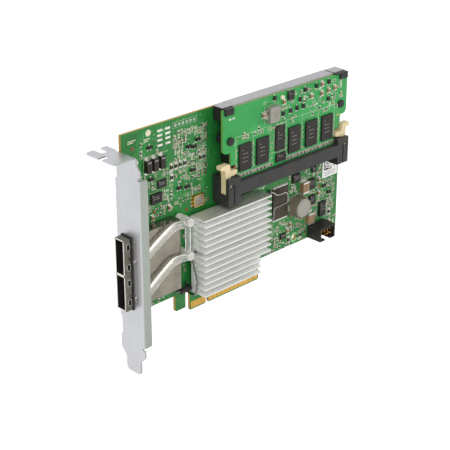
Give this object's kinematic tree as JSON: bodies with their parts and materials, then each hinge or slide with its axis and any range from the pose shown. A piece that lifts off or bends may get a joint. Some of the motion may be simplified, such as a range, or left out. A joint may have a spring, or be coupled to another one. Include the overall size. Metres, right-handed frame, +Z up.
{
  "type": "raid controller card",
  "caption": "Full-height plug-in storage controller card with external ports, heatsink, socketed cache board, battery pack and edge connector.",
  "frame": {"origin": "centre of the key notch, on the lower edge of the plug contacts, on the component face of the board", "axes": "+X along the card away from the bracket, +Z up from the plug edge, components face -Y"},
  "size_m": [0.1748, 0.025, 0.129],
  "materials": {
    "board_green": "glossy solder mask",
    "gold": "gold plate",
    "bracket_steel": "satin zinc",
    "screw_steel": "bright zinc",
    "cage_steel": "nickel sheet",
    "black_plastic": "moulded",
    "seal_black": "soft",
    "clear_plastic": "clear acrylic",
    "light_white": "clear cap",
    "chip_black": "moulded epoxy",
    "pad_grey": "soft",
    "heatsink_aluminium": "anodised extrusion",
    "spring_steel": "drawn wire",
    "socket_black": "glass-filled moulding",
    "tinned_metal": "tin plate",
    "latch_cream": "moulded nylon",
    "cache_green": "glossy solder mask",
    "inductor_silver": "pressed powder",
    "holder_black": "moulded",
    "battery_grey": "sleeved pack",
    "inductor_grey": "ferrite",
    "ceramic_tan": "fired ceramic",
    "tantalum_black": "moulded epoxy",
    "can_silver": "metal lid",
    "resistor_dark": "thick film",
    "header_black": "moulded",
    "label_white": "paper"
  },
  "bodies": {
    "card": {"main_board": "board_green", "edge_contacts": "gold", "bracket": "bracket_steel", "bracket_screws": "screw_steel", "bracket_nuts": "screw_steel", "port_cage": "cage_steel", "port_tongues": "black_plastic", "port_contacts": "gold", "port_seal": "seal_black", "light_pipe": "clear_plastic", "indicator_lights": "light_white", "processor_chip": "chip_black", "thermal_pad": "pad_grey", "heatsink": "heatsink_aluminium", "clip_wire": "spring_steel", "clip_anchors": "spring_steel", "clip_sleeve": "black_plastic", "socket_housing": "socket_black", "socket_tails": "tinned_metal", "cache_board": "cache_green", "memory_chips": "chip_black", "register_chip": "chip_black", "id_chip": "chip_black", "cache_inductor": "inductor_silver", "cache_power_chip": "chip_black", "cache_transistors": "chip_black", "cache_capacitors": "ceramic_tan", "battery_holder": "holder_black", "battery_pack": "battery_grey", "holder_pegs": "holder_black", "flash_chip": "chip_black", "power_inductor": "inductor_grey", "large_capacitors": "ceramic_tan", "tantalum_capacitors": "tantalum_black", "small_chips": "chip_black", "clock_oscillator": "can_silver", "transistors": "chip_black", "chip_capacitors": "ceramic_tan", "resistor_packs": "resistor_dark", "signal_header": "header_black", "header_pins": "gold", "board_label": "label_white"},
    "left_latch": {"latch_left": "latch_cream"},
    "right_latch": {"latch_right": "latch_cream"}
  },
  "joints": [
    {"name": "left_latch_hinge", "type": "hinge", "parent": "card", "child": "left_latch", "pos_m": [0.0065, -0.00837, 0.07], "axis": [0, -1, 0], "range_deg": [0, 25]},
    {"name": "right_latch_hinge", "type": "hinge", "parent": "card", "child": "right_latch", "pos_m": [0.0961, -0.00837, 0.07], "axis": [0, 1, 0], "range_deg": [0, 25]}
  ]
}
